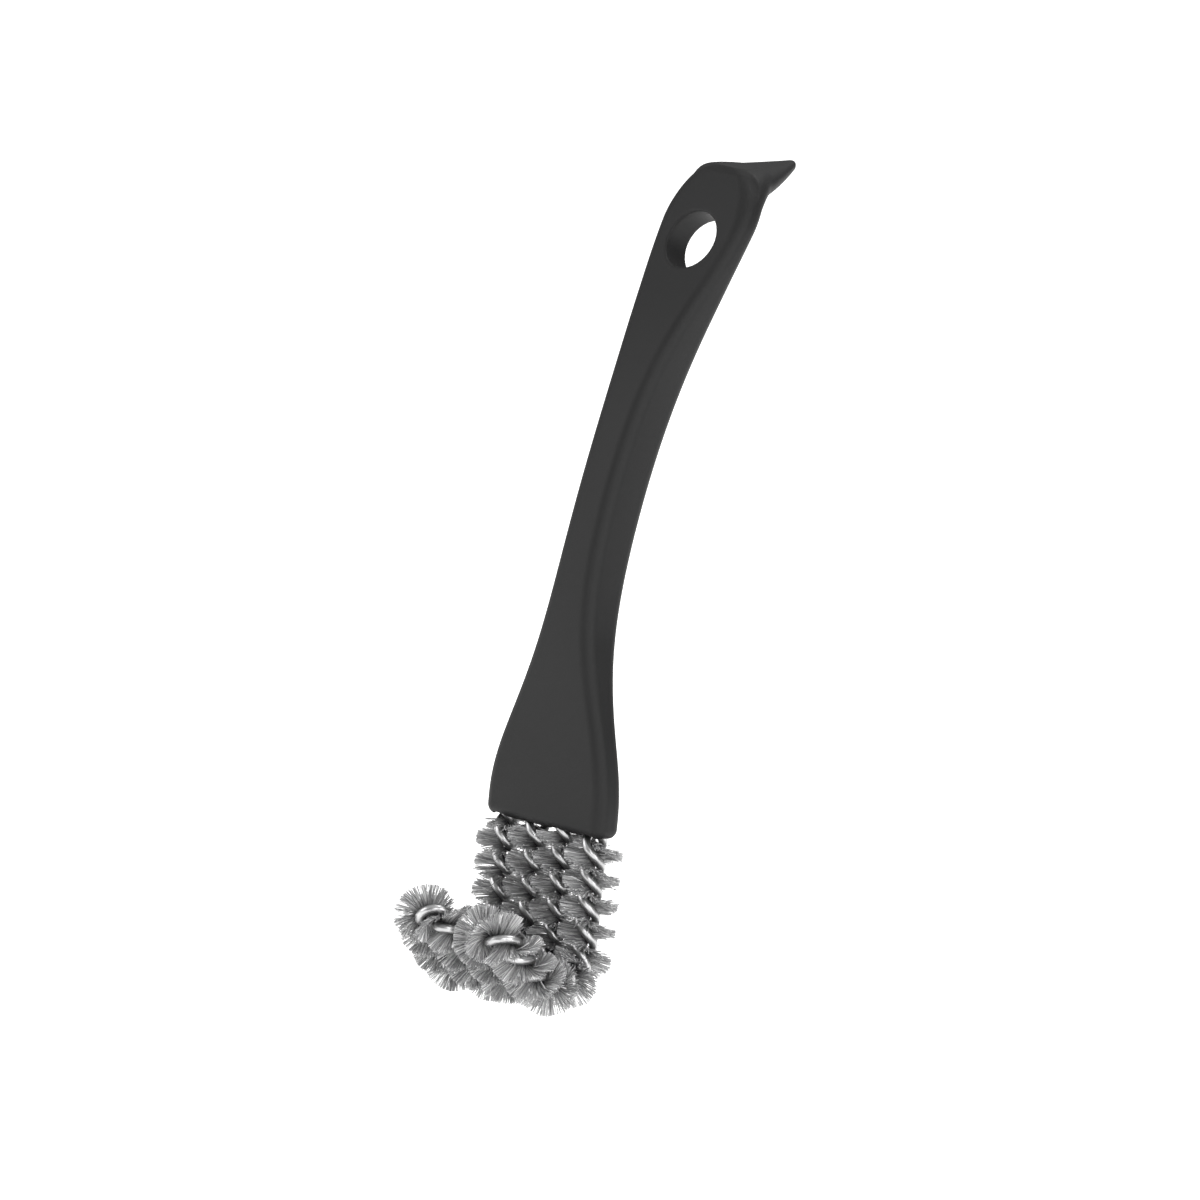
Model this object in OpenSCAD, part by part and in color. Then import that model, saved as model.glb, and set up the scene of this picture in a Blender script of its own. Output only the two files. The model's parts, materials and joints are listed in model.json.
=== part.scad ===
// Crevice brush: a one-piece moulded handle that holds two twisted wire brushes.
// Each brush is folded into a narrow hairpin. Both of its ends sit in the handle,
// and its folded end is bent forward and up into a hook.
// X is to the right, Y to the back, Z up along the straight part of the brushes.
// The origin is the middle of the hanging hole.

/* [Handle] */
// Height of the handle, from its flat lower face to the top of the paddle
handle_height = 192.8; // [170:0.1:230]
// Width of the grip at its narrowest
neck_width = 15.5; // [13:0.1:20]
// Thickness of the grip at its thickest
neck_thickness = 16.6; // [12:0.1:20]
// Plastic between an outer socket and the side of the head
head_side_wall = 2.2; // [1.6:0.1:5]
// Plastic between a socket and the front or back of the head
head_face_wall = 1.3; // [1:0.1:3]
// Height over which the head stays at its full width
head_height = 6; // [2:0.5:12]
// How far up the widened head fades into the grip
head_flare = 39; // [30:1:50]
// Thickness of the paddle around the hanging hole
paddle_thickness = 9; // [6:0.1:10]
// Plastic between the hanging hole and the side of the paddle
paddle_rim = 7.8; // [4:0.1:9]
// How far down the widened paddle fades into the grip
paddle_flare = 36; // [28:1:44]
// Lean of the upper end towards the back, in degrees
lean = 23.5; // [15:0.5:28]
// Height at which the handle starts to lean back
bow_start = 4; // [2:1:20]
// Height at which the lean is complete
bow_end = 154; // [135:1:158]
// How much further back the very top of the paddle sweeps
top_sweep = 1.6; // [0:0.1:2.5]
// Radius of the long edges of the handle
edge_radius = 3; // [1.5:0.1:3.8]
// Radius of the lower corners of the head, seen from the front
head_corner_radius = 1.8; // [1.5:0.1:5]
// Radius of the lower edges of the head, seen from the side
head_edge_radius = 1; // [0.5:0.1:1.4]
// How far in from the side the curved upper corners of the paddle start
paddle_corner_width = 11.5; // [4:0.1:14]
// How far below the top those corners start
paddle_corner_height = 18; // [6:0.5:22]

/* [Hanging hole] */
// Diameter of the hanging hole
hole_diameter = 18; // [14:0.5:20]
// Distance from the top of the handle to the middle of the hole
hole_drop = 23; // [21:0.1:34]

/* [Beak] */
// How far the beak reaches behind the paddle
beak_reach = 23.6; // [15:1:34]
// Width of the beak where it leaves the paddle
beak_root_width = 27; // [16:0.5:28]
// Width of the beak's blunt tip
beak_tip_width = 2.6; // [2:0.1:6]
// Height of the beak's blunt tip
beak_tip_height = 2.6; // [2:0.1:6]
// Height of the beak where it leaves the paddle
beak_root_height = 11; // [9:0.5:13]
// Height of the beak's widest line below its top, where it leaves the paddle
beak_shoulder_drop = 6.5; // [5:0.5:8.5]
// How much higher the beak's tip is than the top of the paddle
beak_rise = 0.9; // [0:0.1:2]

/* [Brush wires] */
// Diameter of each wire
wire_diameter = 2.75; // [2:0.05:3.2]
// Thickness of the bristle pack that the two wires hold
pack_thickness = 2.1; // [1.6:0.1:3]
// Length of one full turn of the twist
twist_pitch = 15.2; // [13:0.1:19]
// Distance between the two legs of one brush
leg_spacing = 12.7; // [11:0.1:16]
// Distance between the inner legs of the two brushes
brush_spacing = 11.4; // [9:0.1:15]
// Depth of the sockets in the handle
socket_depth = 12; // [8:0.5:14]
// Clearance all round a twisted stem in its socket
socket_clearance = 0.1; // [0.05:0.05:0.3]

/* [Hook] */
// Length of the straight legs below the handle
column_length = 32.4; // [28:0.1:50]
// Radius of the bend at the bottom, at the middle of the stem
bend_radius = 11.4; // [10:0.05:16]
// Angle of that bend, in degrees
bend_angle = 133.5; // [110:0.5:140]
// Straight length after the bend on the right brush
right_rise = 11.9; // [5:0.1:20]
// Straight length after the bend on the left brush
left_rise = 14.5; // [5:0.1:20]

/* [Bristles] */
// Diameter of each brush over its bristles
bristle_diameter = 17.4; // [14:0.1:22]
// Width of the pressed strip that the bristles grow from
pack_width = 4.4; // [3.6:0.1:5]
// Spacing of the bristle strands along the stem
strand_step = 1.7; // [1.5:0.1:2]
// Half the width of a strand at its end
strand_fan = 1.3; // [0.5:0.1:1.4]
// Half the thickness of a strand at its end
strand_half_thickness = 0.65; // [0.3:0.05:0.7]
// Bare wire between the handle and the first bristles
bare_length = 1.6; // [1.3:0.1:4]

/* [Hidden] */

plastic = [0.24, 0.24, 0.245];
steel = [0.72, 0.72, 0.73];
bristle_grey = [0.55, 0.55, 0.57];

// Stem: two wires on opposite sides of the bristle pack
wire_radius = wire_diameter / 2;
twist_radius = wire_radius + pack_thickness / 2;
socket_radius = twist_radius + wire_radius + socket_clearance;
half_turn_radius = leg_spacing / 2;
brush_centre = (brush_spacing + leg_spacing) / 2;
right_phase = 165;
left_phase = 141;

// Length of each stretch of a folded brush, and of the whole
bend_length = bend_radius * bend_angle * PI / 180;
turn_length = half_turn_radius * PI;
function leg_length(rise) = column_length + bend_length + rise;
function brush_length(rise) = 2 * leg_length(rise) + turn_length;

// Handle sizes that follow from what it holds
head_half_width = brush_spacing / 2 + leg_spacing + socket_radius + head_side_wall;
head_half_thickness = socket_radius + head_face_wall;
hole_radius = hole_diameter / 2;
paddle_half_width = hole_radius + paddle_rim;
hole_height = handle_height - hole_drop;

// Centre line of the handle seen from the side: straight, an arc, straight again, swept back
sweep_start = hole_height - hole_radius - 3;
bow_radius = (bow_end - bow_start) / sin(lean);
function lean_at(z) =
    z <= bow_start ? 0 : z >= bow_end ? lean : asin((z - bow_start) / bow_radius);
function back_at(z) =
    z <= bow_start ? 0
    : z >= bow_end
    ? bow_radius * (1 - cos(lean)) + (z - bow_end) * tan(lean)
        + top_sweep * pow(max(0, z - sweep_start) / (handle_height - sweep_start), 2)
    : bow_radius * (1 - cos(lean_at(z)));

// Width and thickness along the handle: a bell at each end over the grip's own size
function bell(distance, reach) = distance <= 0 ? 1 : exp(-pow(distance / reach, 2));
thin_head_height = 24;
thin_head_fade = 34;
paddle_full_height = hole_height + 10;
paddle_flat_height = hole_height + 5;
paddle_flat_fade = 30;
function rounded_end(distance, radius) =
    distance >= radius ? 0 : radius - sqrt(pow(radius, 2) - pow(radius - distance, 2));
corner_squareness = 2;
function cut_corner(distance, width, height) =
    distance >= height ? 0
    : width * (1 - pow(1 - pow(1 - distance / height, corner_squareness), 1 / corner_squareness));
function half_width_at(z) =
    neck_width / 2
    + (head_half_width - neck_width / 2) * bell(z - head_height, head_flare)
    + (paddle_half_width - neck_width / 2) * bell(paddle_full_height - z, paddle_flare);
function half_thickness_at(z) =
    neck_thickness / 2
    + (head_half_thickness - neck_thickness / 2) * bell(z - thin_head_height, thin_head_fade)
    + (paddle_thickness / 2 - neck_thickness / 2) * bell(paddle_flat_height - z, paddle_flat_fade);

// Skin of triangles over rings of equal point count, each counter-clockwise about the way along
module skin(rings) {
    count = len(rings[0]);
    last = len(rings) - 1;
    sides = [for (i = [0:last - 1], k = [0:count - 1])
        let (a = i * count + k, b = i * count + (k + 1) % count)
        each [[a, a + count, b + count], [a, b + count, b]]];
    start = [for (k = [1:count - 2]) [0, k, k + 1]];
    end = [for (k = [1:count - 2]) [last * count, last * count + k + 1, last * count + k]];
    polyhedron([for (ring = rings) each ring], concat(sides, start, end));
}

// Rounded rectangle with slightly crowned faces, as [across, through] pairs
corner_steps = 5;
face_steps = 4;
face_crown = 0.35;
function crown(u) = face_crown * (1 - pow(2 * u - 1, 2));
function rounded_outline(w, t, r) =
    [for (q = [0:3])
        let (
            a = q * 90,
            flip_x = (q == 0 || q == 3) ? 1 : -1,
            flip_y = q < 2 ? 1 : -1,
            centre = [flip_x * (w - r), flip_y * (t - r)],
            corner = [for (k = [0:corner_steps])
                let (b = a + 90 * k / corner_steps) centre + r * [cos(b), sin(b)]],
            next = [q == 0 || q == 1 ? -(w - r) : w - r, q == 0 || q == 3 ? t - r : -(t - r)]
                + r * [cos(a + 90), sin(a + 90)],
            outward = [cos(a + 90), sin(a + 90)],
            from = corner[corner_steps],
            room = min(1, norm(next - from) / (2 * r)),
            face = [for (k = [1:face_steps - 1])
                let (u = k / face_steps)
                from + (next - from) * u + outward * crown(u) * room]
        )
        each concat(corner, face)];

// One ring of the handle. It is square to the centre line, but turns level above the bow.
function ring_tilt(z) =
    lean_at(z) * (1 - min(1, max(0, (z - bow_end) / (hole_height + hole_radius - bow_end))));
function handle_ring(z, inset_w, inset_t) =
    let (
        tilt = ring_tilt(z),
        w = half_width_at(z) - inset_w - face_crown,
        t = half_thickness_at(z) - inset_t - face_crown,
        r = min(edge_radius, 0.85 * t, 0.85 * w),
        stretch = 1 / cos(lean_at(z) - tilt)
    )
    [for (p = rounded_outline(w, t, r))
        [p[0], back_at(z) + stretch * p[1] * cos(tilt), z - stretch * p[1] * sin(tilt)]];

top_edge_radius = 2;
body_rings = 30;
end_rings = 6;

module handle_body() {
    low = [for (k = [0:end_rings - 1])
        let (z = head_corner_radius * (1 - cos(90 * k / end_rings)))
        handle_ring(z, rounded_end(z, head_corner_radius), rounded_end(z, head_edge_radius))];
    middle = [for (k = [0:body_rings])
        let (z = head_corner_radius
            + (handle_height - paddle_corner_height - head_corner_radius) * k / body_rings)
        handle_ring(z, 0, 0)];
    high = [for (k = [1:end_rings])
        let (drop = paddle_corner_height * (1 - sin(90 * k / end_rings)))
        handle_ring(
            handle_height - drop,
            cut_corner(drop, paddle_corner_width, paddle_corner_height),
            rounded_end(drop, top_edge_radius)
        )];
    skin(concat(low, middle, high));
}

// The beak: broad at the paddle, hollowed underneath, drawn out to a blunt tip behind it
beak_rings = 12;
beak_sides = 20;
beak_roundness = 2.3;
beak_fullness = 1.3;
beak_start = back_at(handle_height) - paddle_thickness / 4;
beak_end = back_at(handle_height) + beak_reach;
beak_root_bottom = handle_height - beak_root_height;
beak_tip_bottom = handle_height + beak_rise - beak_tip_height;
beak_shoulder = handle_height - beak_shoulder_drop;
function ease(u) = 0.6 * u + 0.4 * u * u;
function beak_top(u) = handle_height + beak_rise * u * u;
function beak_bottom(u) = beak_root_bottom + (beak_tip_bottom - beak_root_bottom) * ease(u);
function beak_widest(u) =
    beak_shoulder + (beak_tip_bottom + beak_tip_height / 2 - beak_shoulder) * u;
function beak_half_width(u) =
    beak_tip_width / 2 + (beak_root_width - beak_tip_width) / 2 * (1 - pow(u, beak_fullness));
function signed_power(v, p) = sign(v) * pow(abs(v), p);

module beak() {
    tip_round = beak_tip_width / 2;
    rings = [for (k = [0:beak_rings])
        let (
            y = beak_start + (beak_end - beak_start) * (1 - pow(1 - k / beak_rings, 1.5)),
            u = (y - beak_start) / (beak_end - beak_start),
            shrink = k == beak_rings ? 0.45
                : sqrt(1 - pow(max(0, 1 - (beak_end - y) / tip_round), 2)),
            widest = beak_widest(u),
            half_width = beak_half_width(u) * shrink,
            above = (beak_top(u) - widest) * shrink,
            below = (widest - beak_bottom(u)) * shrink
        )
        [for (j = [0:beak_sides - 1])
            let (a = -360 * j / beak_sides, up = sin(a) > 0, power = 2 / beak_roundness)
            [
                half_width * signed_power(cos(a), power),
                y,
                widest + (up ? above : below) * signed_power(sin(a), power)
            ]]];
    skin(rings);
}

// Places what is drawn from the handle's lower face so that the origin is in the hanging hole
module from_hole() {
    translate([0, -back_at(hole_height), -hole_height]) children();
}

module hanging_hole() {
    translate([0, back_at(hole_height), hole_height])
        rotate([90 - lean_at(hole_height), 0, 0])
            cylinder(h = 4 * paddle_thickness, r = hole_radius, center = true, $fn = 96);
}

module socket(x) {
    translate([x, 0, -1]) cylinder(h = socket_depth + 1, r = socket_radius, $fn = 64);
}

module handle() {
    color(plastic) from_hole() difference() {
        union() {
            handle_body();
            beak();
        }
        hanging_hole();
        for (side = [-1, 1], leg = [-1, 1])
            socket(side * brush_centre + leg * half_turn_radius);
    }
}

// Middle line of a folded brush. The distance s starts at 0 under the handle at the brush's
// right leg, is negative in the socket, and ends at brush_length(rise) at the left leg.
// Each result is [point, across, inward], and the way along is across x inward.
function leg_frame(s, x) =
    s <= column_length
    ? [[x, 0, -s], [1, 0, 0], [0, -1, 0]]
    : let (
        a = min(bend_angle, (s - column_length) * 180 / (PI * bend_radius)),
        beyond = max(0, s - column_length - bend_length)
    )
    [
        [
            x,
            -bend_radius * (1 - cos(a)) - beyond * sin(a),
            -column_length - bend_radius * sin(a) - beyond * cos(a)
        ],
        [1, 0, 0],
        [0, -cos(a), sin(a)]
    ];

function stem_frame(s, rise, centre) =
    let (leg = leg_length(rise), whole = brush_length(rise))
    s <= leg ? leg_frame(s, centre + half_turn_radius)
    : s >= whole - leg
    ? let (f = leg_frame(whole - s, centre - half_turn_radius)) [f[0], -f[1], f[2]]
    : let (
        a = (s - leg) / turn_length * 180,
        f = leg_frame(leg, centre),
        forward = [0, -sin(bend_angle), -cos(bend_angle)],
        out = [cos(a), 0, 0] + forward * sin(a)
    )
    [f[0] + out * half_turn_radius, out, f[2]];

// Left-hand twist: the angle falls as the distance grows
function twist_at(s, start) = start - 360 * s / twist_pitch;
function around(frame, angle) = frame[1] * cos(angle) + frame[2] * sin(angle);

// One wire as one unbroken tube
wire_sides = 6;
rings_per_turn = 8;
wire_end_gap = 0.3;
function wire_point(s, rise, centre, start) =
    let (f = stem_frame(s, rise, centre))
    f[0] + twist_radius * around(f, twist_at(s, start));
function wire_stations(rise) =
    let (
        first = -(socket_depth - wire_end_gap),
        length = brush_length(rise) - 2 * first,
        count = ceil(length / twist_pitch * rings_per_turn)
    )
    [for (i = [0:count]) first + length * i / count];

// Least distance between stretches of one wire that are half a turn apart or more, less its diameter
function gap_to_itself(points) =
    min([for (i = [0:len(points) - 1], j = [i + 4:1:len(points) - 1])
        norm(points[i] - points[j])]) - wire_diameter;

module wire(label, rise, centre, start) {
    stations = wire_stations(rise);
    points = [for (s = stations) wire_point(s, rise, centre, start)];
    echo(str(label, ": least gap of the wire to itself, mm"), gap_to_itself(points));
    rings = [for (i = [0:len(stations) - 1])
        let (
            s = stations[i],
            f = stem_frame(s, rise, centre),
            ahead = wire_point(s + 0.05, rise, centre, start)
                - wire_point(s - 0.05, rise, centre, start),
            along = ahead / norm(ahead),
            out = around(f, twist_at(s, start)),
            square_out = out - along * (out * along),
            n = square_out / norm(square_out),
            b = cross(along, n)
        )
        [for (k = [0:wire_sides - 1])
            let (a = 360 * k / wire_sides)
            points[i] + wire_radius * (n * cos(a) + b * sin(a))]];
    color(steel) from_hole() skin(rings);
}

// Bristles of one stretch: a pressed strip between the wires, with a strand at every step on
// both of its edges. Each strand is a three-sided spike that stays fused to the strip.
strip_half_thickness = pack_thickness / 2 - 0.25;
stretch_gap = 0.2;
midplane_gap = 0.2;
bend_keep = 3;
turn_keep = 1.7;
length_scatter = 0.06;
golden = 0.618034;
function scatter(i) = i * golden - floor(i * golden);

// Room for a strand that points into a bend or into the folded end
function strand_reach(s, rise, angle, i) =
    let (
        leg = leg_length(rise),
        t = min(s, brush_length(rise) - s),
        full = bristle_diameter / 2 * (1 - length_scatter * scatter(i)),
        inward = t > leg ? -cos(angle) : t > column_length && t < column_length + bend_length
            ? sin(angle) : 0,
        room = t > leg ? half_turn_radius - turn_keep : bend_radius - bend_keep
    )
    inward * full > room ? room / inward : full;

// Each leg keeps to its own side of the planes midway to its neighbours
function keep_side(p, s, rise, centre) =
    let (
        leg = leg_length(rise),
        half = midplane_gap / 2,
        low = max(centre > 0 ? half : -1000, s < leg ? centre + half : -1000),
        high = min(centre > 0 ? 1000 : -half, s > brush_length(rise) - leg ? centre - half : 1000)
    )
    [min(max(p[0], low), high), p[1], p[2]];

function strand_end(s, rise, centre, start, side, i) =
    let (
        f = stem_frame(s, rise, centre),
        angle = twist_at(s, start) + side * 90,
        out = around(f, angle),
        swing = around(f, angle + 90),
        along = cross(f[1], f[2]),
        reach = strand_reach(s, rise, angle, i),
        slope = -twist_pitch / (2 * PI * reach),
        end = f[0] + out * reach
    )
    [for (corner = [[1, -1], [-1, -1], [0, 1]])
        keep_side(
            end + swing * corner[0] * strand_fan
                + along * (corner[1] * strand_half_thickness + slope * corner[0] * strand_fan),
            s, rise, centre
        )];

module bristles(from, to, rise, centre, start) {
    count = round((to - from - stretch_gap) / strand_step);
    first = from + stretch_gap / 2;
    step = (to - from - stretch_gap) / count;
    half_width = pack_width / 2;
    strip = [for (i = [0:count])
        let (
            s = first + step * i,
            f = stem_frame(s, rise, centre),
            u = around(f, twist_at(s, start) + 90) * half_width,
            v = around(f, twist_at(s, start) + 180) * strip_half_thickness
        )
        each [f[0] + u + v, f[0] - u + v, f[0] - u - v, f[0] + u - v]];
    ends = [for (i = [0:count - 1], side = [1, -1])
        each strand_end(first + step * (i + 0.5), rise, centre, start, side, 2 * i + side)];
    ends_from = 4 * (count + 1);
    flat_sides = [for (i = [0:count - 1], k = [0, 2])
        let (a = 4 * i + k, b = a + 1)
        each [[a, a + 4, b + 4], [a, b + 4, b]]];
    edges = [for (i = [0:count - 1], q = [0, 1])
        let (
            k = q == 0 ? 3 : 1,
            a = 4 * i + k,
            b = 4 * i + (k + 1) % 4,
            root = [a, a + 4, b + 4],
            tip = [for (m = [0:2]) ends_from + 6 * i + 3 * q + m],
            spike = [for (m = [0:2])
                let (n = (m + 1) % 3)
                each [[root[m], root[n], tip[n]], [root[m], tip[n], tip[m]]]]
        )
        each concat([[a, b + 4, b]], spike, [tip])];
    last = 4 * count;
    caps = [[0, 1, 2], [0, 2, 3], [last, last + 2, last + 1], [last, last + 3, last + 2]];
    color(bristle_grey) from_hole()
        polyhedron(concat(strip, ends), concat(flat_sides, edges, caps));
}

// The stretches of a brush, counted from its right leg down, round and up its left leg
module stretch(name, rise, centre, start) {
    leg = leg_length(rise);
    whole = brush_length(rise);
    bend_from = column_length;
    rise_from = column_length + bend_length;
    if (name == "first_column") bristles(bare_length, bend_from, rise, centre, start);
    if (name == "first_bend") bristles(bend_from, rise_from, rise, centre, start);
    if (name == "first_rise") bristles(rise_from, leg, rise, centre, start);
    if (name == "tip") bristles(leg, whole - leg, rise, centre, start);
    if (name == "second_rise") bristles(whole - leg, whole - rise_from, rise, centre, start);
    if (name == "second_bend") bristles(whole - rise_from, whole - bend_from, rise, centre, start);
    if (name == "second_column")
        bristles(whole - bend_from, whole - bare_length, rise, centre, start);
}

module right_wire_a() { wire("right_wire_a", right_rise, brush_centre, right_phase); }
module right_wire_b() { wire("right_wire_b", right_rise, brush_centre, right_phase + 180); }
module left_wire_a() { wire("left_wire_a", left_rise, -brush_centre, left_phase); }
module left_wire_b() { wire("left_wire_b", left_rise, -brush_centre, left_phase + 180); }
module right_stretch(name) { stretch(name, right_rise, brush_centre, right_phase); }
module left_stretch(name) { stretch(name, left_rise, -brush_centre, left_phase); }

handle();
right_wire_a();
right_wire_b();
left_wire_a();
left_wire_b();
right_stretch("first_column");  // right_outer_column_bristles
right_stretch("second_column");  // right_inner_column_bristles
left_stretch("first_column");  // left_inner_column_bristles
left_stretch("second_column");  // left_outer_column_bristles
right_stretch("first_bend");  // right_outer_bend_bristles
right_stretch("second_bend");  // right_inner_bend_bristles
left_stretch("first_bend");  // left_inner_bend_bristles
left_stretch("second_bend");  // left_outer_bend_bristles
right_stretch("first_rise");  // right_outer_rise_bristles
right_stretch("second_rise");  // right_inner_rise_bristles
left_stretch("first_rise");  // left_inner_rise_bristles
left_stretch("second_rise");  // left_outer_rise_bristles
right_stretch("tip");  // right_tip_bristles
left_stretch("tip");  // left_tip_bristles
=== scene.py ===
"""Looks of the crevice brush: a smooth moulded handle, twisted bright wires and fine bristles.

Lengths are in millimetres, measured from the middle of the handle's lower face with +Z up,
and are turned into the frame's metres, measured from the hanging hole, when a mesh is made.
"""

import json
import math

import bpy
import numpy as np
import openvdb
from mathutils import Matrix, Vector


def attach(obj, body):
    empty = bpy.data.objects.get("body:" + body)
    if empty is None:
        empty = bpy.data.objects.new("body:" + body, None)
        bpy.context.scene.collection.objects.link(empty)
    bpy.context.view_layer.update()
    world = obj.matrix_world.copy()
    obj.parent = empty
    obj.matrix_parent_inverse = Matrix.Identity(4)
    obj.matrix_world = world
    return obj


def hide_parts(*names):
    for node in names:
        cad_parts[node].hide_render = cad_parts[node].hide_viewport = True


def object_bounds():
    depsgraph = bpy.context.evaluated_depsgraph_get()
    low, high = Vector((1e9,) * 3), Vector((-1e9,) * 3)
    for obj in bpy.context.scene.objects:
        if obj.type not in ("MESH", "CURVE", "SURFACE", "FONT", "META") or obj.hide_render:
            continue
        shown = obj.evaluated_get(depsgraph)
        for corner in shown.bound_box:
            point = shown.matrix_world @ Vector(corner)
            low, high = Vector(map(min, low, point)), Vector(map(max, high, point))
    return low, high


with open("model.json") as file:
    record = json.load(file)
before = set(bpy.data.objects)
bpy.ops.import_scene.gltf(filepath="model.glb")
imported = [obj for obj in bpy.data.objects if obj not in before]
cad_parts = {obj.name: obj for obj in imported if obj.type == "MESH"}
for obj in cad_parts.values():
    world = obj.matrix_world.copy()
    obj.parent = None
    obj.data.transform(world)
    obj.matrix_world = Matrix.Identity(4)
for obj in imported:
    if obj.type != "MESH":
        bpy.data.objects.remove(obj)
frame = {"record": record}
cad_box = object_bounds()

MM = 0.001
SEED = 7

# Handle. These sizes are the CAD model's, except that its edges are rounded a little more.
HANDLE_HEIGHT = 192.8
NECK_WIDTH = 15.5
NECK_THICKNESS = 16.6
HEAD_SIDE_WALL = 2.2
HEAD_FACE_WALL = 1.3
HEAD_HEIGHT = 6.0
HEAD_FLARE = 39.0
PADDLE_THICKNESS = 9.0
PADDLE_RIM = 7.8
PADDLE_FLARE = 36.0
LEAN = math.radians(23.5)
BOW_START = 4.0
BOW_END = 154.0
TOP_SWEEP = 1.6
EDGE_RADIUS = 3.6
EDGE_SHARE_OF_THICKNESS = 0.85
HEAD_EDGE_RADIUS = 3.0
TOP_EDGE_RADIUS = 2.0
PADDLE_CORNER_WIDTH = 11.5
PADDLE_CORNER_HEIGHT = 18.0
CORNER_SQUARENESS = 2.0
FACE_CROWN = 0.35
THIN_HEAD_HEIGHT = 24.0
THIN_HEAD_FADE = 34.0
PADDLE_FLAT_FADE = 30.0
HOLE_RADIUS = frame["record"]["mounts"][0]["dims"]["r_mm"]
HOLE_DROP = 23.0
HOLE_RIM_RADIUS = 0.6
HOLE_HEIGHT = HANDLE_HEIGHT - HOLE_DROP

# Beak
BEAK_REACH = 23.6
BEAK_ROOT_WIDTH = 27.0
BEAK_TIP_WIDTH = 2.6
BEAK_TIP_HEIGHT = 2.6
BEAK_ROOT_HEIGHT = 11.0
BEAK_SHOULDER_DROP = 6.5
BEAK_RISE = 0.9
BEAK_FULLNESS = 1.3
BEAK_ROUNDNESS = 2.3
BEAK_FILLET = 3.0
BEAK_UNDERSIDE_BEND = 0.4
BEAK_TIP_ROUNDING = BEAK_TIP_WIDTH / 2 - 0.1

# Folded brushes
WIRE_RADIUS = 1.375
PACK_THICKNESS = 2.1
TWIST_PITCH = 15.2
LEG_SPACING = 12.7
BRUSH_SPACING = 11.4
SOCKET_DEPTH = 12.0
SOCKET_CLEARANCE = 0.1
SOCKET_RIM_RADIUS = 0.25
COLUMN_LENGTH = 32.4
BEND_RADIUS = 11.4
BEND_ANGLE = math.radians(133.5)
BRISTLE_RADIUS = 8.7
RISE = {"right": 11.9, "left": 14.5}
PHASE = {"right": math.radians(165), "left": math.radians(141)}
TWIST_RADIUS = WIRE_RADIUS + PACK_THICKNESS / 2
SOCKET_RADIUS = TWIST_RADIUS + WIRE_RADIUS + SOCKET_CLEARANCE
TURN_RADIUS = LEG_SPACING / 2
CENTRE = {"right": (BRUSH_SPACING + LEG_SPACING) / 2, "left": -(BRUSH_SPACING + LEG_SPACING) / 2}
BEND_LENGTH = BEND_RADIUS * BEND_ANGLE
TURN_LENGTH = math.pi * TURN_RADIUS


def leg_length(side):
    return COLUMN_LENGTH + BEND_LENGTH + RISE[side]


def brush_length(side):
    return 2 * leg_length(side) + TURN_LENGTH


# Centre line and sizes of the handle at a height

SWEEP_BELOW_HOLE = 3
FULL_WIDTH_ABOVE_HOLE = 10
FULL_FLATNESS_ABOVE_HOLE = 5
BOW_RADIUS = (BOW_END - BOW_START) / math.sin(LEAN)
SWEEP_START = HOLE_HEIGHT - HOLE_RADIUS - SWEEP_BELOW_HOLE
HEAD_HALF_WIDTH = BRUSH_SPACING / 2 + LEG_SPACING + SOCKET_RADIUS + HEAD_SIDE_WALL
HEAD_HALF_THICKNESS = SOCKET_RADIUS + HEAD_FACE_WALL
PADDLE_HALF_WIDTH = HOLE_RADIUS + PADDLE_RIM
PADDLE_FULL_HEIGHT = HOLE_HEIGHT + FULL_WIDTH_ABOVE_HOLE
PADDLE_FLAT_HEIGHT = HOLE_HEIGHT + FULL_FLATNESS_ABOVE_HOLE


def lean_at(z):
    return np.arcsin(np.clip((z - BOW_START) / BOW_RADIUS, 0, math.sin(LEAN)))


def back_at(z):
    sweep = TOP_SWEEP * (np.clip(z - SWEEP_START, 0, None) / (HANDLE_HEIGHT - SWEEP_START)) ** 2
    above = np.clip(z - BOW_END, 0, None) * math.tan(LEAN)
    return BOW_RADIUS * (1 - np.cos(lean_at(z))) + above + sweep


def bell(distance, reach):
    return np.exp(-((np.clip(distance, 0, None) / reach) ** 2))


def cut_corner(drop):
    share = np.clip(drop / PADDLE_CORNER_HEIGHT, 0, 1)
    rest = 1 - (1 - share) ** CORNER_SQUARENESS
    return PADDLE_CORNER_WIDTH * (1 - rest ** (1 / CORNER_SQUARENESS))


def half_width_at(z):
    return (
        NECK_WIDTH / 2
        + (HEAD_HALF_WIDTH - NECK_WIDTH / 2) * bell(z - HEAD_HEIGHT, HEAD_FLARE)
        + (PADDLE_HALF_WIDTH - NECK_WIDTH / 2) * bell(PADDLE_FULL_HEIGHT - z, PADDLE_FLARE)
    )


def half_thickness_at(z):
    half = NECK_THICKNESS / 2
    return (
        half
        + (HEAD_HALF_THICKNESS - half) * bell(z - THIN_HEAD_HEIGHT, THIN_HEAD_FADE)
        + (PADDLE_THICKNESS / 2 - half) * bell(PADDLE_FLAT_HEIGHT - z, PADDLE_FLAT_FADE)
    )


HOLE_BACK = float(back_at(np.array(HOLE_HEIGHT)))
TOP_BACK = float(back_at(np.array(HANDLE_HEIGHT)))
BEAK_START = TOP_BACK - PADDLE_THICKNESS / 4
BEAK_END = TOP_BACK + BEAK_REACH


def beak_share(y):
    """0 where the beak starts inside the paddle, 1 at its tip."""
    return np.clip((y - BEAK_START) / (BEAK_END - BEAK_START), 0, 1)


def top_at(y):
    """Height of the top line: level over the paddle, rising a little to the beak's tip."""
    return HANDLE_HEIGHT + BEAK_RISE * beak_share(y) ** 2


# Distance fields: negative inside, about one per millimetre near the surface

HEIGHT_ROUNDS = 4
SLOPE_STEP = 0.05
LEAST_SLOPE = 0.02
HOLE_FIELD_REACH = 12
FAR_OUTSIDE_HOLE = -100


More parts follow.
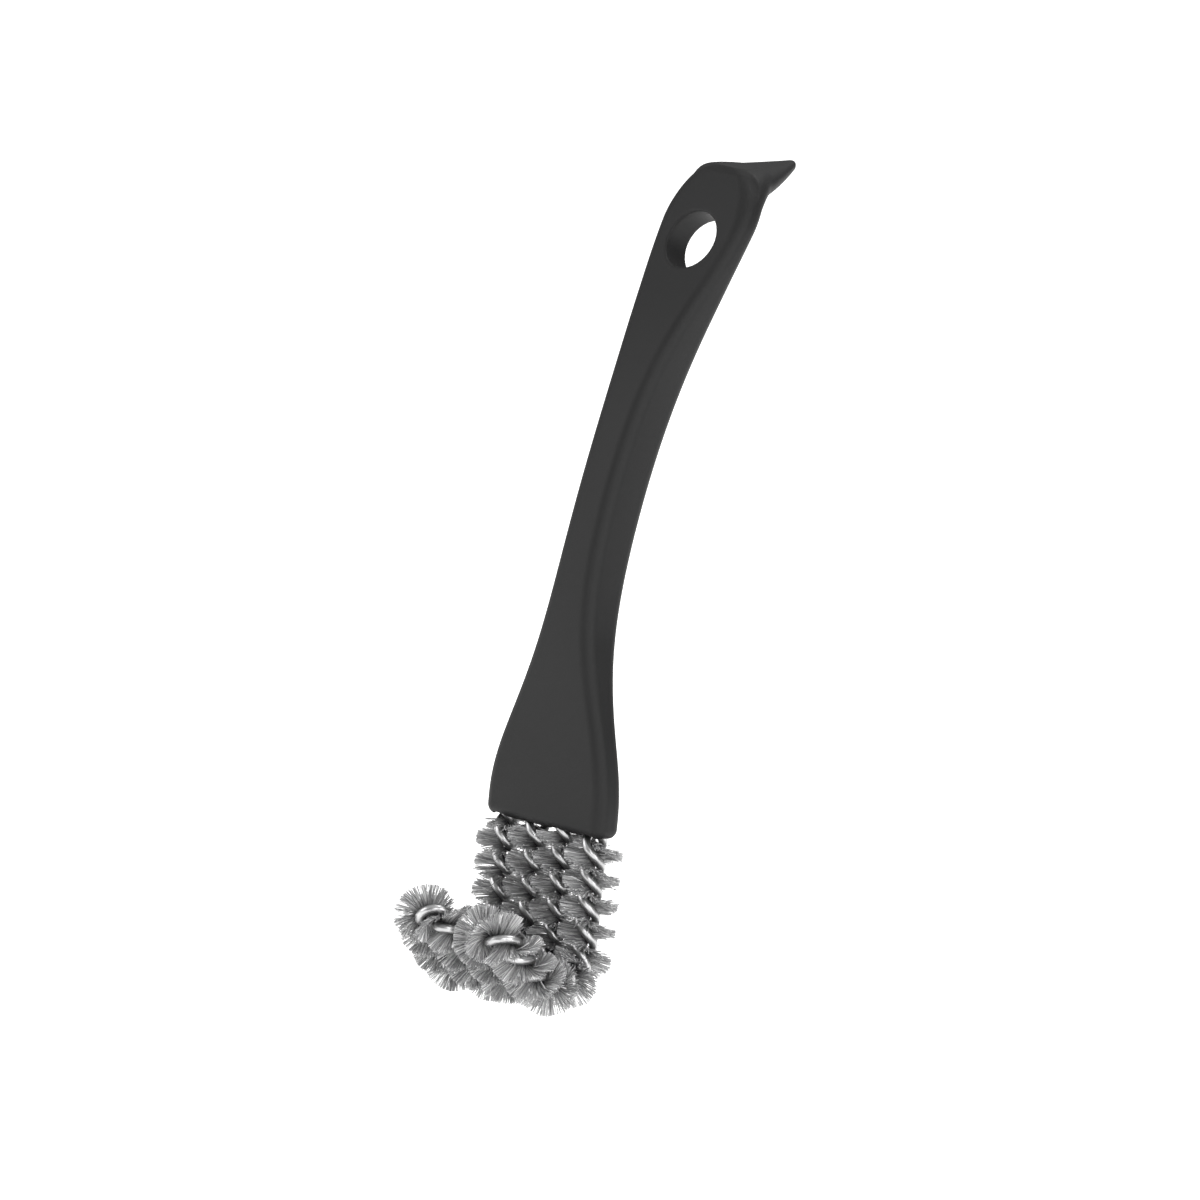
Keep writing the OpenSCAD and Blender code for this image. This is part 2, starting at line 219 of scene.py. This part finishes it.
def round_join(a, b, radius):
    """Union of two shapes with a fillet between them."""
    return np.maximum(np.minimum(a, b), radius) - np.hypot(
        np.clip(radius - a, 0, None), np.clip(radius - b, 0, None)
    )


def round_cut(a, b, radius):
    """What is inside both shapes, with a rounded edge between them."""
    return np.minimum(np.maximum(a, b), -radius) + np.hypot(
        np.clip(a + radius, 0, None), np.clip(b + radius, 0, None)
    )


def body_field(x, y, z):
    """The handle without its beak: rings square to the bowed centre line, level at the top."""
    height = z.copy()
    for _ in range(HEIGHT_ROUNDS):
        upper = np.clip((height - BOW_END) / (HOLE_HEIGHT + HOLE_RADIUS - BOW_END), 0, 1)
        tilt = lean_at(height) * (1 - upper)
        height = z + (y - back_at(height)) * np.tan(tilt)
    across = np.abs(x)
    through = (y - back_at(height)) * np.cos(lean_at(height) - tilt) / np.cos(tilt)
    width = half_width_at(height) - cut_corner(HANDLE_HEIGHT - height)
    thickness = half_thickness_at(height)
    side = across - width + FACE_CROWN * (through / thickness) ** 2
    face = np.abs(through) - thickness + FACE_CROWN * (across / width) ** 2
    edge = np.minimum(EDGE_RADIUS, EDGE_SHARE_OF_THICKNESS * thickness)
    section = round_cut(side, face, edge)
    solid = round_cut(section, -z, HEAD_EDGE_RADIUS)
    return round_cut(solid, z - HANDLE_HEIGHT, TOP_EDGE_RADIUS)


def beak_level(x, y, z):
    """Below 1 inside the beak's section at y, above 1 outside it."""
    u = beak_share(y)
    tip_top = HANDLE_HEIGHT + BEAK_RISE
    bottom_root, bottom_tip = HANDLE_HEIGHT - BEAK_ROOT_HEIGHT, tip_top - BEAK_TIP_HEIGHT
    rise = (1 - BEAK_UNDERSIDE_BEND) * u + BEAK_UNDERSIDE_BEND * u * u
    bottom = bottom_root + (bottom_tip - bottom_root) * rise
    shoulder = HANDLE_HEIGHT - BEAK_SHOULDER_DROP
    widest = shoulder + (tip_top - BEAK_TIP_HEIGHT / 2 - shoulder) * u
    taper = (BEAK_ROOT_WIDTH - BEAK_TIP_WIDTH) / 2
    half_width = BEAK_TIP_WIDTH / 2 + taper * (1 - u**BEAK_FULLNESS)
    reach = np.where(z > widest, top_at(y) - widest, widest - bottom)
    n = BEAK_ROUNDNESS
    return (np.abs(x / half_width) ** n + np.abs((z - widest) / reach) ** n) ** (1 / n)


def beak_field(x, y, z):
    h = SLOPE_STEP
    level = beak_level(x, y, z)
    slope_x = (beak_level(x + h, y, z) - level) / h
    slope_y = (beak_level(x, y + h, z) - level) / h
    slope_z = (beak_level(x, y, z + h) - level) / h
    steep = np.sqrt(slope_x**2 + slope_y**2 + slope_z**2)
    side = np.maximum((level - 1) / np.maximum(steep, LEAST_SLOPE), BEAK_START - y)
    return round_cut(side, y - BEAK_END, BEAK_TIP_ROUNDING)


def handle_field(x, y, z):
    """The whole handle: body and beak, cut by the hanging hole and the four sockets."""
    solid = round_join(body_field(x, y, z), beak_field(x, y, z), BEAK_FILLET)
    solid = np.maximum(solid, z - top_at(y))
    above, behind = z - HOLE_HEIGHT, y - HOLE_BACK
    up = above * math.cos(LEAN) + behind * math.sin(LEAN)
    along_hole = behind * math.cos(LEAN) - above * math.sin(LEAN)
    near_paddle = np.abs(along_hole) < HOLE_FIELD_REACH
    hole = np.where(near_paddle, HOLE_RADIUS - np.hypot(x, up), FAR_OUTSIDE_HOLE)
    solid = round_cut(solid, hole, HOLE_RIM_RADIUS)
    for side in CENTRE.values():
        for leg in (-TURN_RADIUS, TURN_RADIUS):
            shaft = SOCKET_RADIUS - np.hypot(x - side - leg, y)
            socket = np.minimum(shaft, SOCKET_DEPTH - z)
            solid = round_cut(solid, socket, SOCKET_RIM_RADIUS)
    return solid


# Meshes

BAND_CELLS = 4
SNAP_ROUNDS = 4
SNAP_SLOPE_STEP = 0.02
SNAP_LEAST_SLOPE = 0.1
SNAP_REACH_CELLS = 0.5
TINY = 1e-9


def to_frame(points):
    """Millimetres from the handle's lower face to metres from the hanging hole."""
    return (np.asarray(points, float) - (0, HOLE_BACK, HOLE_HEIGHT)) * MM


def keep_in_box(points):
    """Points no further out than the CAD model's own box."""
    low = np.array(cad_box[0]) / MM + (0, HOLE_BACK, HOLE_HEIGHT)
    high = np.array(cad_box[1]) / MM + (0, HOLE_BACK, HOLE_HEIGHT)
    return np.clip(points, low, high)


def add_mesh(name, points, faces, material, replaced, smooth=True):
    mesh = bpy.data.meshes.new(name)
    mesh.from_pydata(to_frame(points), [], faces)
    mesh.validate()
    mesh.polygons.foreach_set("use_smooth", [smooth] * len(mesh.polygons))
    mesh.materials.append(material)
    piece = bpy.data.objects.new(name, mesh)
    bpy.context.scene.collection.objects.link(piece)
    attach(piece, "root")
    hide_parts(replaced)
    return piece


def field_mesh(field, low, high, cell):
    """Quads over a field's zero surface, with each corner moved onto that surface."""
    counts = [int(math.ceil((b - a) / cell)) + 1 for a, b in zip(low, high)]
    axes = [a + cell * np.arange(n) for a, n in zip(low, counts)]
    values = np.empty(counts, np.float32)
    for k, z in enumerate(axes[2]):
        x, y = np.meshgrid(axes[0], axes[1], indexing="ij")
        values[:, :, k] = field(x, y, np.full_like(x, z))
    band = BAND_CELLS * cell
    grid = openvdb.FloatGrid(band)
    grid.copyFromArray(np.clip(values, -band, band))
    points, quads = grid.convertToQuads(0.0)
    points = np.asarray(points, float) * cell + low
    h = SNAP_SLOPE_STEP
    for _ in range(SNAP_ROUNDS):
        x, y, z = points.T
        f = field(x, y, z)
        slope = np.stack(
            [
                field(x + h, y, z) - field(x - h, y, z),
                field(x, y + h, z) - field(x, y - h, z),
                field(x, y, z + h) - field(x, y, z - h),
            ],
            axis=1,
        ) / (2 * h)
        step = (f / np.maximum((slope**2).sum(1), SNAP_LEAST_SLOPE))[:, None] * slope
        length = np.linalg.norm(step, axis=1, keepdims=True)
        limit = SNAP_REACH_CELLS * cell / np.maximum(length, TINY)
        points = points - step * np.minimum(1, limit)
    return points, np.asarray(quads)


# Materials


def new_material(name):
    material = bpy.data.materials.new(name)
    material.use_nodes = True
    tree = material.node_tree
    shader = tree.nodes["Principled BSDF"]
    return material, tree, shader


def add_node(tree, kind, inputs=(), **settings):
    node = tree.nodes.new(kind)
    for key, value in settings.items():
        setattr(node, key, value)
    for key, value in dict(inputs).items():
        node.inputs[key].default_value = value
    return node


def add_ramp(tree, source, stops):
    """Colours between stops, each a position and a colour."""
    ramp = tree.nodes.new("ShaderNodeValToRGB")
    first, last = ramp.color_ramp.elements
    first.position, first.color = stops[0]
    last.position, last.color = stops[-1]
    for position, colour in stops[1:-1]:
        ramp.color_ramp.elements.new(position).color = colour
    tree.links.new(source, ramp.inputs["Fac"])
    return ramp


def grey(value, tint=0.0):
    """A grey with a little blue added by tint."""
    return (value, value, value * (1 + tint), 1)


def moulded_plastic():
    """Matte charcoal plastic with a fine moulded grain and faint clouds of tone and gloss."""
    material, tree, shader = new_material("moulded_charcoal_plastic")
    place = add_node(tree, "ShaderNodeTexCoord")
    cloud = add_node(tree, "ShaderNodeTexNoise", {"Scale": 45, "Detail": 4})
    grain = add_node(tree, "ShaderNodeTexNoise", {"Scale": 2600, "Detail": 2, "Roughness": 0.6})
    pits = add_node(tree, "ShaderNodeTexVoronoi", {"Scale": 1900})
    for node in (cloud, grain, pits):
        tree.links.new(place.outputs["Object"], node.inputs["Vector"])
    tones = [(0.35, grey(0.0100, 0.02)), (0.65, grey(0.0120, 0.02))]
    tone = add_ramp(tree, cloud.outputs["Fac"], tones)
    gloss = add_ramp(tree, cloud.outputs["Fac"], [(0.3, grey(0.50)), (0.7, grey(0.58))])
    tree.links.new(tone.outputs["Color"], shader.inputs["Base Color"])
    tree.links.new(gloss.outputs["Color"], shader.inputs["Roughness"])
    both = add_node(tree, "ShaderNodeMath", operation="MULTIPLY_ADD")
    both.inputs[1].default_value = 0.5
    tree.links.new(pits.outputs["Distance"], both.inputs[0])
    tree.links.new(grain.outputs["Fac"], both.inputs[2])
    bump = add_node(tree, "ShaderNodeBump", {"Strength": 0.35, "Distance": 0.00006})
    tree.links.new(both.outputs["Value"], bump.inputs["Height"])
    tree.links.new(bump.outputs["Normal"], shader.inputs["Normal"])
    shader.inputs["Specular IOR Level"].default_value = 0.2
    return material


def drawn_steel():
    """Bright drawn wire: fine lines along its length and slow changes of tone."""
    material, tree, shader = new_material("drawn_steel_wire")
    place = add_node(tree, "ShaderNodeUVMap", uv_map="along_wire")
    stretch = add_node(tree, "ShaderNodeMapping")
    stretch.inputs["Scale"].default_value = (14.0, 40.0, 1.0)
    lines = add_node(tree, "ShaderNodeTexNoise", {"Scale": 1.0, "Detail": 3, "Roughness": 0.7})
    cloud = add_node(tree, "ShaderNodeTexNoise", {"Scale": 260, "Detail": 3})
    where = add_node(tree, "ShaderNodeTexCoord")
    tree.links.new(place.outputs["UV"], stretch.inputs["Vector"])
    tree.links.new(stretch.outputs["Vector"], lines.inputs["Vector"])
    tree.links.new(where.outputs["Object"], cloud.inputs["Vector"])
    tone = add_ramp(tree, cloud.outputs["Fac"], [(0.3, grey(0.37, 0.01)), (0.7, grey(0.50))])
    gloss = add_ramp(tree, lines.outputs["Fac"], [(0.3, grey(0.25)), (0.7, grey(0.37))])
    tree.links.new(tone.outputs["Color"], shader.inputs["Base Color"])
    tree.links.new(gloss.outputs["Color"], shader.inputs["Roughness"])
    bump = add_node(tree, "ShaderNodeBump", {"Strength": 0.25, "Distance": 0.00004})
    tree.links.new(lines.outputs["Fac"], bump.inputs["Height"])
    tree.links.new(bump.outputs["Normal"], shader.inputs["Normal"])
    shader.inputs["Metallic"].default_value = 1.0
    return material


def bristle_steel():
    """Fine dull wire: each bristle has its own grey, with painted shade that darkens it towards its
    root and painted light that brightens its tip.
    """
    material, tree, shader = new_material("bristle_steel")
    each = add_node(tree, "ShaderNodeNewGeometry")
    chance = each.outputs["Random Per Island"]
    tones = [(0.0, grey(0.21, 0.02)), (0.5, grey(0.37, 0.01)), (0.9, grey(0.54)), (1.0, grey(0.85))]
    tone = add_ramp(tree, chance, tones)
    gloss = add_ramp(tree, chance, [(0.0, grey(0.45)), (1.0, grey(0.60))])
    place = add_node(tree, "ShaderNodeUVMap", uv_map="root_to_tip")
    parts = add_node(tree, "ShaderNodeSeparateXYZ")
    tree.links.new(place.outputs["UV"], parts.inputs["Vector"])
    # Painted shade and light: each bristle's colour is darkened towards its root and lightened at
    # its tip, in place of the shade inside the tufts.
    root_shade_stops = [(0.15, grey(0.35)), (0.55, grey(0.9)), (1.0, grey(1.15))]
    root_shade = add_ramp(tree, parts.outputs["X"], root_shade_stops)
    both = add_node(tree, "ShaderNodeVectorMath", operation="MULTIPLY")
    tree.links.new(tone.outputs["Color"], both.inputs[0])
    tree.links.new(root_shade.outputs["Color"], both.inputs[1])
    tree.links.new(both.outputs["Vector"], shader.inputs["Base Color"])
    tree.links.new(gloss.outputs["Color"], shader.inputs["Roughness"])
    shader.inputs["Metallic"].default_value = 0.35
    return material


plastic = moulded_plastic()
wire_steel = drawn_steel()
bristles_steel = bristle_steel()


# Handle

HANDLE_CELL = 0.5
FIELD_MARGIN = 2


def build_handle():
    low = np.array((-HEAD_HALF_WIDTH, -HEAD_HALF_THICKNESS, 0.0)) - FIELD_MARGIN
    high = np.array((HEAD_HALF_WIDTH, BEAK_END, HANDLE_HEIGHT + BEAK_RISE)) + FIELD_MARGIN
    points, quads = field_mesh(handle_field, low, high, HANDLE_CELL)
    points = keep_in_box(points)
    return add_mesh("handle_moulding", points, quads.tolist(), plastic, "handle")


build_handle()


# Middle line of a folded brush


def leg_frame(s, x):
    """Point and inward direction at a distance s down a leg, for an array of distances."""
    a = np.clip((s - COLUMN_LENGTH) / BEND_RADIUS, 0, BEND_ANGLE)
    beyond = np.clip(s - COLUMN_LENGTH - BEND_LENGTH, 0, None)
    down = np.minimum(s, COLUMN_LENGTH)
    point = np.stack(
        [
            np.full_like(s, x),
            -BEND_RADIUS * (1 - np.cos(a)) - beyond * np.sin(a),
            -down - BEND_RADIUS * np.sin(a) - beyond * np.cos(a),
        ],
        axis=-1,
    )
    inward = np.stack([np.zeros_like(s), -np.cos(a), np.sin(a)], axis=-1)
    return point, inward


def stem_frame(s, side):
    """Point, across, inward at distances s from the brush's right leg round to its left one."""
    leg, whole, centre = leg_length(side), brush_length(side), CENTRE[side]
    first, first_in = leg_frame(s, centre + TURN_RADIUS)
    second, second_in = leg_frame(whole - s, centre - TURN_RADIUS)
    a = np.clip((s - leg) / TURN_LENGTH, 0, 1) * math.pi
    apex, apex_in = leg_frame(np.full_like(s, leg), centre)
    forward = np.array((0, -math.sin(BEND_ANGLE), -math.cos(BEND_ANGLE)))
    out = np.stack([np.cos(a), 0 * a, 0 * a], axis=-1) + np.sin(a)[:, None] * forward
    right = np.array((1.0, 0, 0))
    on_first, on_second = (s <= leg)[:, None], (s >= whole - leg)[:, None]
    point = np.where(on_first, first, np.where(on_second, second, apex + out * TURN_RADIUS))
    across = np.where(on_first, right, np.where(on_second, -right, out))
    inward = np.where(on_first, first_in, np.where(on_second, second_in, apex_in))
    return point, across, inward


def twist_at(s, side):
    return PHASE[side] - 2 * math.pi * s / TWIST_PITCH


def around(across, inward, angle):
    return across * np.cos(angle)[:, None] + inward * np.sin(angle)[:, None]


def unit(v):
    return v / np.linalg.norm(v, axis=-1, keepdims=True)


# Wires

WIRE_SIDES = 16
WIRE_RINGS_PER_TURN = 36
WIRE_END_GAP = 0.3
WIRE_SLOPE_STEP = 0.02
LINES_PER_MM = 0.1


def wire_line(s, side, turn):
    """Middle of a wire at distances s, turned about the stem by an angle."""
    point, across, inward = stem_frame(s, side)
    return point + TWIST_RADIUS * around(across, inward, twist_at(s, side) + turn)


def build_wire(side, letter, turn):
    first = -(SOCKET_DEPTH - WIRE_END_GAP)
    length = brush_length(side) - 2 * first
    count = int(length / TWIST_PITCH * WIRE_RINGS_PER_TURN)
    s = first + length * np.arange(count + 1) / count
    line = wire_line(s, side, turn)
    h = WIRE_SLOPE_STEP
    along = unit(wire_line(s + h, side, turn) - wire_line(s - h, side, turn))
    point, across, inward = stem_frame(s, side)
    out = around(across, inward, twist_at(s, side) + turn)
    n = unit(out - along * (out * along).sum(-1, keepdims=True))
    b = np.cross(along, n)
    a = 2 * math.pi * np.arange(WIRE_SIDES) / WIRE_SIDES
    ring = np.cos(a)[None, :, None] * n[:, None] + np.sin(a)[None, :, None] * b[:, None]
    points = (line[:, None] + WIRE_RADIUS * ring).reshape(-1, 3)
    faces = []
    places = []
    for i in range(count):
        for k in range(WIRE_SIDES):
            q = (k + 1) % WIRE_SIDES
            corners = (i, k), (i, k + 1), (i + 1, k + 1), (i + 1, k)
            rows = i * WIRE_SIDES, (i + 1) * WIRE_SIDES
            faces.append((rows[0] + k, rows[0] + q, rows[1] + q, rows[1] + k))
            places += [(s[r] * LINES_PER_MM, c / WIRE_SIDES) for r, c in corners]
    ends = list(range(WIRE_SIDES))
    faces.append(ends[::-1])
    faces.append([count * WIRE_SIDES + k for k in ends])
    places += [(0, 0)] * (2 * WIRE_SIDES)
    name = f"{side}_wire_{letter}"
    piece = add_mesh(name + "_drawn", points, faces, wire_steel, name)
    layer = piece.data.uv_layers.new(name="along_wire")
    layer.data.foreach_set("uv", np.array(places, np.float32).ravel())
    return piece


for brush in ("right", "left"):
    for wire_letter, wire_turn in (("a", 0.0), ("b", math.pi)):
        build_wire(brush, wire_letter, wire_turn)


# Bristles

BRISTLE_THICKNESS = 0.25
BRISTLES_PER_MM = 28
BRISTLE_RINGS = 4
BRISTLE_SIDES = 3
BRISTLE_BOW = 0.15
THINNEST, THICKEST = 0.85, 1.1
ROOT_DEPTH = 0.3
END_MARGIN = 0.2
REACH_MARGIN = 0.1
REACH_SPREAD = 0.09
FIRST_BRISTLE = 1.0

# The sheet of bristles between the wires: its half thickness, and how it leans and fans out
SHEET_ROOT_HALF = 0.95
SHEET_END_HALF = 1.05
SHEET_LEAN = 0.3
FAN_POWER = 1.3
SWING_SPREAD = 0.8
SLIDE_SPREAD = 0.55

# Clumps of bristles that lean together, and strays that stand off
CLUMP_LENGTH = 1.0
CLUMP_MIXING = 0.35
CLUMP_PULL = 0.35
CLUMP_SWING = 0.22
CLUMP_SLIDE = 0.18
CLUMP_SHORTEST = -0.25
STRAY_SHARE = 0.08
STRAY_WILDNESS = 2.0
USUAL_WILDNESS = 0.35

# Room between the stem and the middle of a bend, of the folded end, or of a neighbour
BEND_KEEP = 1.4
TURN_KEEP = 0.9
NEIGHBOUR_ROOM = {"leg": 7.6, "brush": 5.4}
PRESSED_BACK = 0.7
PRESSED_ASIDE = 0.6

# Small amounts that keep a division, a sign or a direction from meeting zero
LEAST_INNER = 0.01
SIGN_NUDGE = 0.01
DIRECTION_NUDGE = 1e-6


def clear_turns(reach, s, side, angle):
    """Bristles that point into a bend or into the folded end stop short of its middle."""
    leg, whole = leg_length(side), brush_length(side)
    t = np.minimum(s, whole - s)
    on_turn = t > leg
    on_bend = (t > COLUMN_LENGTH) & (t < COLUMN_LENGTH + BEND_LENGTH)
    inner = np.where(on_turn, -np.cos(angle), np.where(on_bend, np.sin(angle), 0))
    room = np.where(on_turn, TURN_RADIUS - TURN_KEEP, BEND_RADIUS - BEND_KEEP)
    return np.where(inner * reach > room, room / np.maximum(inner, LEAST_INNER), reach)


def clear_neighbours(line, side, s):
    """Bristles that would reach the next stem are pressed sideways along its bristles."""
    leg, whole, centre = leg_length(side), brush_length(side), CENTRE[side]
    stem_x = np.where(s <= leg, centre + TURN_RADIUS, centre - TURN_RADIUS)
    on_leg = (s <= leg) | (s >= whole - leg)
    for direction in (-1, 1):
        facing = direction * -np.sign(centre) > 0
        inner_leg = np.sign(stem_x - centre) == -np.sign(centre)
        to_brush = facing & inner_leg
        room = np.where(to_brush, NEIGHBOUR_ROOM["brush"], NEIGHBOUR_ROOM["leg"])
        open_side = np.where(direction > 0, stem_x > centre, stem_x < centre) & ~to_brush
        reach = direction * (line[:, :, 0] - stem_x[:, None])
        excess = np.clip(reach - room[:, None], 0, None)
        excess = np.where((on_leg & ~open_side)[:, None], excess, 0)
        line[:, :, 0] -= direction * excess * PRESSED_BACK
        aside = np.sign(line[:, :, 1] - line[:, :1, 1] + SIGN_NUDGE)
        line[:, :, 1] += PRESSED_ASIDE * excess * aside
    return line


def bristle_faces(count):
    """Faces of all bristles, sides before ends, and how far out each face's corners are."""
    per = BRISTLE_RINGS * BRISTLE_SIDES
    sides = []
    for i in range(BRISTLE_RINGS - 1):
        for k in range(BRISTLE_SIDES):
            q = (k + 1) % BRISTLE_SIDES
            row, above = i * BRISTLE_SIDES, (i + 1) * BRISTLE_SIDES
            sides.append((row + k, row + q, above + q, above + k))
    root = range(BRISTLE_SIDES)[::-1]
    tip = range(per - BRISTLE_SIDES, per)
    first = per * np.arange(count)[:, None, None]
    side_faces = (first + np.array(sides)).reshape(-1, 4)
    end_faces = (first + np.array([root, tip])).reshape(-1, BRISTLE_SIDES)
    corners = np.concatenate([side_faces.ravel(), end_faces.ravel()])
    root_to_tip = corners % per // BRISTLE_SIDES / (BRISTLE_RINGS - 1)
    return side_faces.tolist() + end_faces.tolist(), root_to_tip


def build_bristles(node, side, start, end, rng):
    """Bristles of one stretch. Each one leaves the stem on one side of the wires."""
    count = int((end - start) * BRISTLES_PER_MM) * 2
    s = rng.uniform(start + END_MARGIN, end - END_MARGIN, count)
    half = np.where(np.arange(count) % 2, 1.0, -1.0)
    clump = np.floor(s / CLUMP_LENGTH + CLUMP_MIXING * rng.standard_normal(count)).astype(int)
    clump = clump * 2 + (half > 0)
    keys, which = np.unique(clump, return_inverse=True)
    clump_swing = rng.normal(0, CLUMP_SWING, len(keys))[which]
    clump_along = rng.normal(0, CLUMP_SLIDE, len(keys))[which]
    clump_reach = rng.uniform(CLUMP_SHORTEST, 0.0, len(keys))[which]
    centre_s = (clump // 2 + 0.5) * CLUMP_LENGTH
    layer = rng.uniform(-1, 1, count)
    stray = rng.uniform(size=count) < STRAY_SHARE
    wild = np.where(stray, STRAY_WILDNESS, USUAL_WILDNESS)

    point, across, inward = stem_frame(s, side)
    angle = twist_at(s, side) + half * math.pi / 2
    out = around(across, inward, angle)
    swing = around(across, inward, angle + math.pi / 2)
    along = np.cross(across, inward)

    reach = BRISTLE_RADIUS - REACH_MARGIN + clump_reach + rng.normal(0, REACH_SPREAD, count)
    reach = clear_turns(np.minimum(reach, BRISTLE_RADIUS), s, side, angle)

    pull = CLUMP_PULL * (centre_s - s)
    end_swing = layer * SHEET_LEAN + clump_swing + wild * rng.normal(0, SWING_SPREAD, count)
    end_along = -layer * SHEET_END_HALF + clump_along + pull
    end_along += wild * rng.normal(0, SLIDE_SPREAD, count)
    bow_swing = rng.normal(0, BRISTLE_BOW, count)
    bow_along = rng.normal(0, BRISTLE_BOW, count)

    rings = []
    for k in range(BRISTLE_RINGS):
        u = k / (BRISTLE_RINGS - 1)
        bow = math.sin(math.pi * u)
        spread = u**FAN_POWER
        far = ROOT_DEPTH + (reach - ROOT_DEPTH) * u
        swung = layer * SHEET_ROOT_HALF * (1 - u) + end_swing * spread + bow_swing * bow
        slid = end_along * spread + bow_along * bow
        rings.append(point + out * far[:, None] + swing * swung[:, None] + along * slid[:, None])
    line = clear_neighbours(np.stack(rings, axis=1), side, s)
    turn = rng.uniform(0, math.pi / 2, count)
    way = unit(line[:, -1] - line[:, 0])
    n = unit(np.cross(way, along) + DIRECTION_NUDGE)
    b = np.cross(way, n)
    a = turn[:, None] + 2 * math.pi * np.arange(BRISTLE_SIDES) / BRISTLE_SIDES
    ring = np.cos(a)[:, :, None] * n[:, None] + np.sin(a)[:, :, None] * b[:, None]
    thickness = BRISTLE_THICKNESS / 2 * rng.uniform(THINNEST, THICKEST, count)
    points = line[:, :, None] + thickness[:, None, None, None] * ring[:, None]
    points = keep_in_box(points.reshape(-1, 3))

    faces, root_to_tip = bristle_faces(count)
    piece = add_mesh(node + "_fine", points, faces, bristles_steel, node, False)
    places = np.stack([root_to_tip, np.zeros_like(root_to_tip)], axis=1)
    uv_layer = piece.data.uv_layers.new(name="root_to_tip")
    uv_layer.data.foreach_set("uv", places.astype(np.float32).ravel())
    return piece


def stretches(side):
    """Each bristle node of a brush with its distances along the stem."""
    leg, whole = leg_length(side), brush_length(side)
    marks = [FIRST_BRISTLE, COLUMN_LENGTH, COLUMN_LENGTH + BEND_LENGTH, leg]
    first, second = ("outer", "inner") if side == "right" else ("inner", "outer")
    for part, (a, b) in zip(("column", "bend", "rise"), zip(marks, marks[1:])):
        yield f"{side}_{first}_{part}_bristles", a, b
        yield f"{side}_{second}_{part}_bristles", whole - b, whole - a
    yield f"{side}_tip_bristles", leg, whole - leg


seeded = np.random.default_rng(SEED)
for brush in ("right", "left"):
    for stretch_node, stretch_start, stretch_end in stretches(brush):
        build_bristles(stretch_node, brush, stretch_start, stretch_end, seeded)


# Floor, light and camera

FLOOR_DROP = 0.03
FLOOR_HALF_WIDTH = 30
LIGHT_TARGET = (0, -0.02, -0.09)

# Name, place in metres, width and height in metres, and watts
SOFTBOXES = (
    ("key_softbox", (-0.8, -1.1, 0.4), (0.9, 0.9), 7.5),
    ("front_softbox", (1.0, -0.95, 0.35), (0.4, 0.9), 5),
    ("fill_softbox", (1.3, -0.2, 0.35), (0.5, 1.1), 8),
    ("top_softbox", (0.1, 0.5, 1.3), (1.0, 0.7), 11),
)

# The photograph's view: directions, millimetres per pixel, and where the head's middle is in it
TO_VIEWER = Vector((0.7057, -0.6936, 0.150))
IMAGE_UP = Vector((-0.1716, 0.0383, 0.985))
PIXEL = 0.29
PHOTO_WIDTH = 1200
HEAD_PIXEL = (551.5, 826)
LENS = 1000
SENSOR = 36


def make_floor():
    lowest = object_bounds()[0]
    mesh = bpy.data.meshes.new("floor")
    size, level = FLOOR_HALF_WIDTH, lowest.z - FLOOR_DROP
    signs = ((-1, -1), (1, -1), (1, 1), (-1, 1))
    corners = [(x * size, y * size, level) for x, y in signs]
    mesh.from_pydata(corners, [], [(0, 1, 2, 3)])
    material, tree, shader = new_material("pale_floor")
    shader.inputs["Base Color"].default_value = (0.9, 0.9, 0.895, 1)
    shader.inputs["Roughness"].default_value = 0.9
    shader.inputs["Specular IOR Level"].default_value = 0.1
    shader.inputs["Emission Color"].default_value = (1, 1, 1, 1)
    shader.inputs["Emission Strength"].default_value = 0.8
    mesh.materials.append(material)
    floor = bpy.data.objects.new("floor", mesh)
    bpy.context.scene.collection.objects.link(floor)


def aim(obj, place, target, up=Vector((0, 0, 1))):
    """Puts a light or camera at a place, facing the target."""
    back = (place - target).normalized()
    side = up.cross(back).normalized()
    top = back.cross(side)
    obj.matrix_world = Matrix(
        (
            (side.x, top.x, back.x, place.x),
            (side.y, top.y, back.y, place.y),
            (side.z, top.z, back.z, place.z),
            (0, 0, 0, 1),
        )
    )


def add_light(name, place, target, size, power):
    data = bpy.data.lights.new(name, "AREA")
    data.shape = "RECTANGLE"
    data.size, data.size_y = size
    data.energy = power
    light = bpy.data.objects.new(name, data)
    bpy.context.scene.collection.objects.link(light)
    aim(light, Vector(place), Vector(target))


def make_lights():
    """Four softboxes, and a surrounding that is pale above and dim below."""
    for name, place, size, power in SOFTBOXES:
        add_light(name, place, LIGHT_TARGET, size, power)
    world = bpy.data.worlds.new("studio")
    bpy.context.scene.world = world
    world.use_nodes = True
    tree = world.node_tree
    direction = add_node(tree, "ShaderNodeTexCoord")
    parts = add_node(tree, "ShaderNodeSeparateXYZ")
    tree.links.new(direction.outputs["Generated"], parts.inputs["Vector"])
    tones = [(0.0, grey(0.16)), (0.25, grey(0.3)), (1.0, grey(0.85))]
    sky = add_ramp(tree, parts.outputs["Z"], tones)
    tree.links.new(sky.outputs["Color"], tree.nodes["Background"].inputs["Color"])
    bpy.context.scene.view_settings.view_transform = "Standard"


def make_camera():
    right = IMAGE_UP.cross(TO_VIEWER).normalized()
    across = (PHOTO_WIDTH / 2 - HEAD_PIXEL[0]) * PIXEL
    above = (HEAD_PIXEL[1] - PHOTO_WIDTH / 2) * PIXEL
    centre = right * across + IMAGE_UP.normalized() * above
    target = Vector(to_frame(centre))
    distance = PHOTO_WIDTH * PIXEL * MM * LENS / SENSOR
    data = bpy.data.cameras.new("camera")
    data.lens, data.sensor_width = LENS, SENSOR
    data.clip_start, data.clip_end = 0.1, 100
    camera = bpy.data.objects.new("camera", data)
    bpy.context.scene.collection.objects.link(camera)
    aim(camera, target + TO_VIEWER.normalized() * distance, target, IMAGE_UP)
    bpy.context.scene.camera = camera


make_camera()
make_lights()
make_floor()
